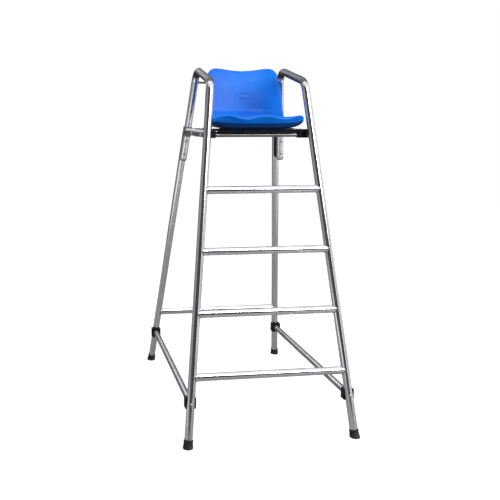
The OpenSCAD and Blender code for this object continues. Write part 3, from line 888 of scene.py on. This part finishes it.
# Seat
@dataclass
class BucketSeat:
    """The two-walled moulded seat: pan, front lip, waved backrest and a blank raised plate, with painted
    shade underneath.
    """

    base_z: float = 1.449
    rim_height: float = 0.0686
    overhang: float = 0.014
    pan_half: float = 0.231
    back_half: float = 0.190
    rise: float = 0.297
    back_gap: float = 0.042
    wave: float = 0.009
    wave_shift: float = 0.031
    wave_share: float = 0.88
    dip: float = 0.014
    corner_drop: float = 0.041
    corner_back: float = 0.020
    plate_width: float = 0.074
    plate_height: float = 0.037
    plate_s: float = 0.81
    plate_rise: float = 0.002
    bolt_x: float = 0.120
    support_back: float = 0.062
    support_ahead: float = 0.090
    stations: int = 200
    loop: int = 200
    # Strength of the painted shade underneath and on the bosses, and the share of the seat's length where
    # the underside's shade ends.
    shade: float = 0.92
    shade_end: float = 0.60
    boss_sides: int = 40
    plate_sides: int = 72

    @property
    def wave_length(self) -> float:
        """Length of one wave of the front edge."""
        return self.pan_half * self.wave_share

    @property
    def front_y(self) -> float:
        """Where the seat's front edge lies."""
        return float(SIZES.front_at(Side.LEFT, self.base_z + self.rim_height)[1]) - self.overhang

    @property
    def depth(self) -> float:
        """From the front edge to the top of the backrest."""
        return float(SIZES.post_at(Side.LEFT, self.base_z + self.rise)[1]) - self.back_gap - self.front_y

    @property
    def front_bolt_y(self) -> float:
        """Where the front bolts stand."""
        return float(SIZES.front_at(Side.LEFT, SIZES.rail_height)[1]) + self.support_back

    def rows(self) -> Point:
        """Back, up, thickness, half width and edge rise of each station along the seat."""
        p, b, d, r = self.pan_half, self.back_half, self.depth, self.rise
        bend = d - 0.074
        return np.array([
            [0.000, 0.044, 0.029, p - 0.012, 0.005], [0.004, 0.045, 0.041, p - 0.004, 0.005],
            [0.014, 0.0423, 0.0496, p - 0.001, 0.004], [0.032, 0.0368, 0.0576, p, 0.004],
            [0.060, 0.0318, 0.0586, p, 0.005], [0.090, 0.0278, 0.0516, p, 0.008],
            [0.09 + (bend - 0.09) * 0.40, 0.0218, 0.0396, p - 0.002, 0.015],
            [0.09 + (bend - 0.09) * 0.76, 0.0218, 0.0396, b + 0.028, 0.017],
            [bend, 0.041, 0.038, b + 0.021, 0.024], [d - 0.048, 0.080, 0.030, b + 0.020, 0.028],
            [d - 0.036, 0.139, 0.025, b + 0.017, 0.030], [d - 0.024, r - 0.105, 0.023, b + 0.013, 0.030],
            [d - 0.012, r - 0.050, 0.022, b + 0.007, 0.028], [d, r, 0.016, b, 0.024]])

    def row(self, s: Point) -> Point:
        """The station at a share s of the seat's length, on a smooth curve through the rows."""
        rows = self.rows()
        x = np.clip(s, 0, 1) * (len(rows) - 1)
        i = np.minimum(np.floor(x).astype(int), len(rows) - 2)
        t = (x - i)[..., None]
        a, b = rows[np.maximum(i - 1, 0)], rows[i]
        c, d = rows[i + 1], rows[np.minimum(i + 2, len(rows) - 1)]
        return 0.5 * (2 * b + (c - a) * t + (2 * a - 5 * b + 4 * c - d) * t ** 2
                      + (3 * b - 3 * c + d - a) * t ** 3)

    @staticmethod
    def ramp(x: Point) -> Point:
        """A smooth step from 0 to 1."""
        c = np.clip(x, 0, 1)
        return c * c * (3 - 2 * c)

    def skin_point(self, s: Point, u: Point, v: Point) -> Point:
        """A point of the skin.

        Args:
            s: Share of the seat's length, 0 at the front lip and 1 at the top of the backrest.
            u: From -1 to 1 across.
            v: 1 on the sitter's side, -1 underneath.

        Returns:
            The point, in the chair's frame.
        """
        row, ahead, behind = self.row(s), self.row(s + 0.01), self.row(s - 0.01)
        along = ahead[..., :2] - behind[..., :2]
        along = along / np.linalg.norm(along, axis=-1, keepdims=True)
        normal = np.stack([-along[..., 1], along[..., 0]], -1)
        # The edges rise above the middle, underneath less than on the sitter's side.
        follow = 1 - (1 - v) / 2 * (0.75 - 0.65 * self.ramp((s - 0.42) / 0.3))
        lift = follow * row[..., 4] * np.abs(u) ** 2.4 + v * row[..., 2] / 2
        # The top edge dips between two soft humps and falls away at its corners.
        top = self.ramp((s - 0.72) / 0.28) * (self.dip * (1 - np.cos(np.radians(200 * u))) / 2
                                              - self.corner_drop * np.abs(u) ** 10)
        # The front edge runs in low waves, and its corners lie further back.
        turn = FULL_TURN * (u * self.pan_half - self.wave_shift) / self.wave_length
        rise = self.wave * (1 + v) / 2 * self.ramp(1 - s * 2.8) * np.cos(turn)
        corner = self.corner_back * self.ramp(1 - s * 3) * u * u
        back = row[..., 0] + normal[..., 0] * lift + along[..., 0] * top + corner
        up = row[..., 1] + normal[..., 1] * lift + along[..., 1] * top + rise
        return np.stack([u * row[..., 3], back + self.front_y, up + self.base_z], -1)

    def caps(self) -> Faces:
        """Faces that close both ends of the skin, each from side to side."""
        faces, loop = [], self.loop
        for base, turned in ((0, False), ((self.stations - 1) * loop, True)):
            for k in range(loop // 2):
                quad = (base + k, base + k + 1, base + (loop - k - 1) % loop, base + (loop - k) % loop)
                quad = tuple(dict.fromkeys(quad))
                if len(quad) > 2:
                    faces.append(quad[::-1] if turned else quad)
        return faces

    def build(self, finishes: Finishes) -> None:
        """Builds the seat in place of its solid, with its bosses and its plate."""
        s = np.linspace(0, 1, self.stations)[:, None] * np.ones((1, self.loop))
        a = np.linspace(0, FULL_TURN, self.loop, endpoint=False)
        # A section with full edges: u runs across, v from the underside to the sitter's side.
        u = np.sign(np.cos(a)) * np.abs(np.cos(a)) ** 0.4
        w = np.sin(a)
        v = np.where(w < 0, -np.abs(w) ** 1.25, np.abs(w) ** 0.5)
        points = self.skin_point(s, u[None, :] + 0 * s, v[None, :] + 0 * s).reshape(-1, 3)
        faces = grid_faces(self.stations, self.loop, flip=True) + self.caps()
        # Painted shade darkens the underside, from behind the front lip to the foot of the backrest.
        front, rear = self.ramp((s - 0.002) / 0.004), self.ramp((self.shade_end - s) / 0.12)
        underside_shade = self.ramp(-v[None, :] / 0.5) * front * rear
        groove = (self.shade * underside_shade).reshape(-1)
        piece = Skin("seat_shell_moulding").add(points, faces, groove=groove).build(finishes.shell)
        self.bosses(finishes)
        self.plate(finishes)
        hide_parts("seat_shell")

    def plate(self, finishes: Finishes) -> None:
        """Builds the blank raised plate on the front of the backrest, with rounded corners and edges, and
        painted shade on its outer side and its inner wall.
        """
        low, high = (self.skin_point(np.array(self.plate_s + d), np.array(0.0), np.array(1.0))
                     for d in (-0.01, 0.01))
        centre, upright = (low + high) / 2, unit(high - low)
        outward = np.cross(ACROSS, upright)
        rise = self.plate_rise
        rings = [(-0.0040, 0.0), (rise - 0.0006, 0.0), (rise, 0.0006), (rise, 0.0024),
                 (rise - 0.0003, 0.0028), (0.0002, 0.0034), (0.0002, 0.0040), (0.0006, 0.0120)]
        # Painted shade, ring by ring: darkest on the plate's outer side and its inner wall.
        shades = [0.8, 0.3, 0, 0, 0.5, 1.0, 0.6, 0]
        angles = np.linspace(0, FULL_TURN, self.plate_sides, endpoint=False)
        points = []
        for height, inset in rings:
            half = np.array([self.plate_width / 2 - inset, self.plate_height / 2 - inset])
            radius = max(0.003 - inset * 0.4, 0.0012)
            turn = np.stack([np.cos(angles), np.sin(angles)], -1)
            flat = np.sign(turn) * (half - radius) + radius * turn
            points.append(centre + flat[:, :1] * ACROSS + flat[:, 1:] * upright + height * outward)
        last = (len(rings) - 1) * self.plate_sides
        faces = grid_faces(len(rings), self.plate_sides) + [tuple(last + k for k in range(self.plate_sides))]
        groove = np.repeat(shades, self.plate_sides)
        skin = Skin("seat_plate").add(np.concatenate(points), faces, groove=groove)
        piece = skin.build(finishes.shell, smooth=False)

    def bosses(self, finishes: Finishes) -> None:
        """Builds the four round bosses that stand on the straps, in the seat's full painted shade."""
        skin = Skin("seat_bosses")
        profile = [(0.0003, 0.0069), (0.0003, 0.0160), (0.0010, 0.0168), (0.012, 0.0172), (0.0243, 0.0172)]
        for x in (-self.bolt_x, self.bolt_x):
            for y in (self.front_bolt_y, self.front_y + self.depth - self.support_ahead):
                points, faces = lathe(np.array([x, y, self.base_z]), UP, profile, self.boss_sides)
                # Painted shade: every boss takes the full underside shade.
                skin.add(points, faces, groove=np.full(len(points), self.shade))
        piece = skin.build(finishes.shell)


# Studio
@dataclass(frozen=True)
class Viewpoint:
    """The camera, where the photograph was taken from."""

    place: Triple = (-1.0323, -3.6070, 1.5409)
    yaw: float = 0.1404
    pitch: float = -0.1329
    roll: float = 0.0008
    lens: float = 50.78
    shift: tuple[float, float] = (0.21, -0.09)
    sensor: float = 36.0
    clip_end: float = 200.0

    def build(self) -> None:
        """Makes the scene's camera."""
        level = math.cos(self.pitch)
        forward = Vector((math.sin(self.yaw) * level, math.cos(self.yaw) * level, math.sin(self.pitch)))
        right = forward.cross(Vector((0, 0, 1))).normalized()
        up = right.cross(forward)
        c, s = math.cos(self.roll), math.sin(self.roll)
        right, up = c * right + s * up, -s * right + c * up
        data = bpy.data.cameras.new("photo_view")
        data.lens, data.sensor_width, data.sensor_height = self.lens, self.sensor, self.sensor
        data.shift_x, data.shift_y = self.shift
        data.clip_end = self.clip_end
        camera = bpy.data.objects.new("photo_view", data)
        camera.matrix_world = Matrix((*zip(right, up, -forward, self.place), (0, 0, 0, 1)))
        bpy.context.scene.collection.objects.link(camera)
        bpy.context.scene.camera = camera


@dataclass(frozen=True)
class SoftBox:
    """One soft lamp, which metal mirrors or not."""

    name: str
    place: Triple
    target: Triple
    size: float
    power: float
    mirrored: bool = True

    def build(self) -> None:
        """Makes the lamp."""
        data = bpy.data.lights.new(self.name, "AREA")
        data.shape, data.size, data.energy = "DISK", self.size, self.power
        lamp = bpy.data.objects.new(self.name, data)
        lamp.location = self.place
        aim = Vector(self.target) - Vector(self.place)
        lamp.rotation_euler = aim.to_track_quat("-Z", "Y").to_euler()
        lamp.visible_glossy = self.mirrored
        bpy.context.scene.collection.objects.link(lamp)


@dataclass(frozen=True)
class StudioCard:
    """A grey or dark studio card that only reflections see, so that polished tube has its stripes.

    Attributes:
        name: Name of the card.
        azimuth: Where its middle stands, in degrees to the right of the chair's front.
        width: Its width, in degrees.
        low: Height of its first edge.
        high: Height of its second edge.
        grey: Its colour.
        distance: Distance of its second edge from the chair's middle.
        near: Distance of its first edge, where that is another.
    """

    name: str
    azimuth: float
    width: float
    low: float
    high: float
    grey: float
    distance: float = 6.0
    near: float | None = None
    columns: int = 49

    def build(self) -> None:
        """Makes the card as a curved strip round the chair."""
        turns = np.radians(self.azimuth + np.linspace(-self.width / 2, self.width / 2, self.columns))
        near = self.distance if self.near is None else self.near
        rows = [np.stack([d * np.sin(turns), -d * np.cos(turns), np.full(self.columns, z)], -1)
                for z, d in ((self.low, near), (self.high, self.distance))]
        faces = grid_faces(2, self.columns, closed=False)
        shader = Shader(f"{self.name}_card").set(Base_Color=(self.grey, self.grey, self.grey, 1),
                                                 Roughness=1.0, Specular_IOR_Level=0.0)
        card = mesh_object(self.name, np.concatenate(rows), faces, shader.material)
        for flag in ("camera", "diffuse", "transmission", "volume_scatter", "shadow"):
            setattr(card, f"visible_{flag}", False)


@dataclass
class Studio:
    """White room with a pale floor, soft lamps and grey cards for the reflections."""

    world_strength: float = 0.21
    floor_colour: Colour = (0.32, 0.32, 0.32)
    floor_glow: float = 0.92
    floor_gap: float = 0.0004
    floor_rings: tuple[float, ...] = (0.01, 3.0, 40.0)
    floor_sides: int = 48
    lamps: tuple[SoftBox, ...] = (
        SoftBox("key_lamp", (2.6, -3.9, 3.6), (0.0, 0.0, 1.4), 2.8, 200.0),
        SoftBox("spot_lamp", (0.85, -4.2, 4.55), (0.0, 0.0, 1.6), 0.7, 32.0),
        SoftBox("low_lamp", (1.5, -2.6, 0.25), (0.0, -0.2, 1.5), 1.2, 60.0, mirrored=False),
        SoftBox("top_lamp", (-0.3, 0.4, 4.6), (0.0, 0.0, 1.1), 3.6, 55.0),
        SoftBox("back_lamp", (-1.8, 3.6, 3.6), (0.0, 0.0, 1.1), 2.6, 90.0),
    )
    cards: tuple[StudioCard, ...] = (
        StudioCard("card_front", -26.0, 68.0, 0.0, 6.5, 0.13),
        StudioCard("card_front_edge", 15.0, 14.0, 0.0, 6.5, 0.60),
        StudioCard("card_low_front", 17.0, 26.0, 0.0, 2.9, 0.02, 5.9),
        StudioCard("card_floor_front", 16.0, 76.0, 0.003, 0.003, 0.03, 5.9, 3.0),
        StudioCard("card_floor_mid", 16.0, 100.0, 0.003, 0.003, 0.34, 3.0, 2.0),
        StudioCard("card_floor", 0.0, 360.0, 0.003, 0.003, 0.34, 2.0, 0.0),
        StudioCard("card_left", -106.0, 88.0, 0.0, 6.5, 0.60),
        StudioCard("card_right", 60.0, 14.0, 0.0, 5.5, 0.25),
        StudioCard("card_back", 180.0, 120.0, 0.0, 5.0, 0.22),
        StudioCard("card_floor_back", 180.0, 200.0, 0.003, 0.003, 0.45, 6.0, 2.0),
    )

    def build(self) -> None:
        """Makes world, floor, lamps, cards and camera, and sets the view transform."""
        self.world()
        self.floor()
        for lamp in self.lamps:
            lamp.build()
        for card in self.cards:
            card.build()
        Viewpoint().build()
        bpy.context.scene.view_settings.view_transform = "Standard"

    def world(self) -> None:
        """A plain pale world that the camera, metal and glass see as white."""
        world = bpy.data.worlds.new("studio")
        bpy.context.scene.world = world
        world.use_nodes = True
        tree = world.node_tree
        background = tree.nodes["Background"]
        background.inputs["Color"].default_value = (1, 1, 1, 1)
        self.seen(tree, background.inputs["Strength"], self.world_strength, 1.0)

    @staticmethod
    def seen(tree: bpy.types.NodeTree, target: Socket, light: float, shown: float) -> None:
        """Gives a socket one value for the light and another for what camera and metal see.

        Args:
            tree: The node tree.
            target: The socket.
            light: Value for the light that falls on things.
            shown: Value for camera, glossy and transmission rays.
        """
        path = tree.nodes.new("ShaderNodeLightPath")
        total = path.outputs["Is Camera Ray"]
        for name in ("Is Glossy Ray", "Is Transmission Ray"):
            add = tree.nodes.new("ShaderNodeMath")
            add.operation, add.use_clamp = "ADD", True
            tree.links.new(total, add.inputs[0])
            tree.links.new(path.outputs[name], add.inputs[1])
            total = add.outputs[0]
        spread = tree.nodes.new("ShaderNodeMapRange")
        spread.inputs["To Min"].default_value = light
        spread.inputs["To Max"].default_value = shown
        tree.links.new(total, spread.inputs["Value"])
        tree.links.new(spread.outputs["Result"], target)

    def floor(self) -> None:
        """A pale floor that keeps the chair's shadow."""
        profile = [(0.0, radius) for radius in self.floor_rings]
        points, faces = lathe(-self.floor_gap * UP, UP, profile, self.floor_sides)
        shader = Shader("pale_floor").set(Base_Color=(*self.floor_colour, 1), Roughness=0.9,
                                          Specular_IOR_Level=0.1, Emission_Color=(1, 1, 1, 1))
        self.seen(shader.tree, shader.surface.inputs["Emission Strength"], 0.0, self.floor_glow)
        floor = mesh_object("floor", points, faces, shader.material)


# Whole chair
def write_sizes() -> None:
    """Updates the view layer, so that every piece stands where it was placed."""
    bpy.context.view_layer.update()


def main() -> None:
    """Builds every sub-assembly in order."""
    logging.basicConfig(level=logging.INFO, format="%(message)s")
    finishes = Finishes()
    for side in Side:
        SideFrame(side).build(finishes)
        RearLeg(side).build(finishes)
        label = side.name.lower()
        Foot(f"front_{label}_foot", side, SIZES.front_at).build(finishes)
        Foot(f"rear_{label}_foot", side, SIZES.leg_at).build(finishes)
    Ladder().build(finishes)
    SeatSupport().dress(finishes)
    Fittings().dress(finishes)
    BucketSeat().build(finishes)
    Studio().build()
    write_sizes()


if __name__ == "__main__":
    main()
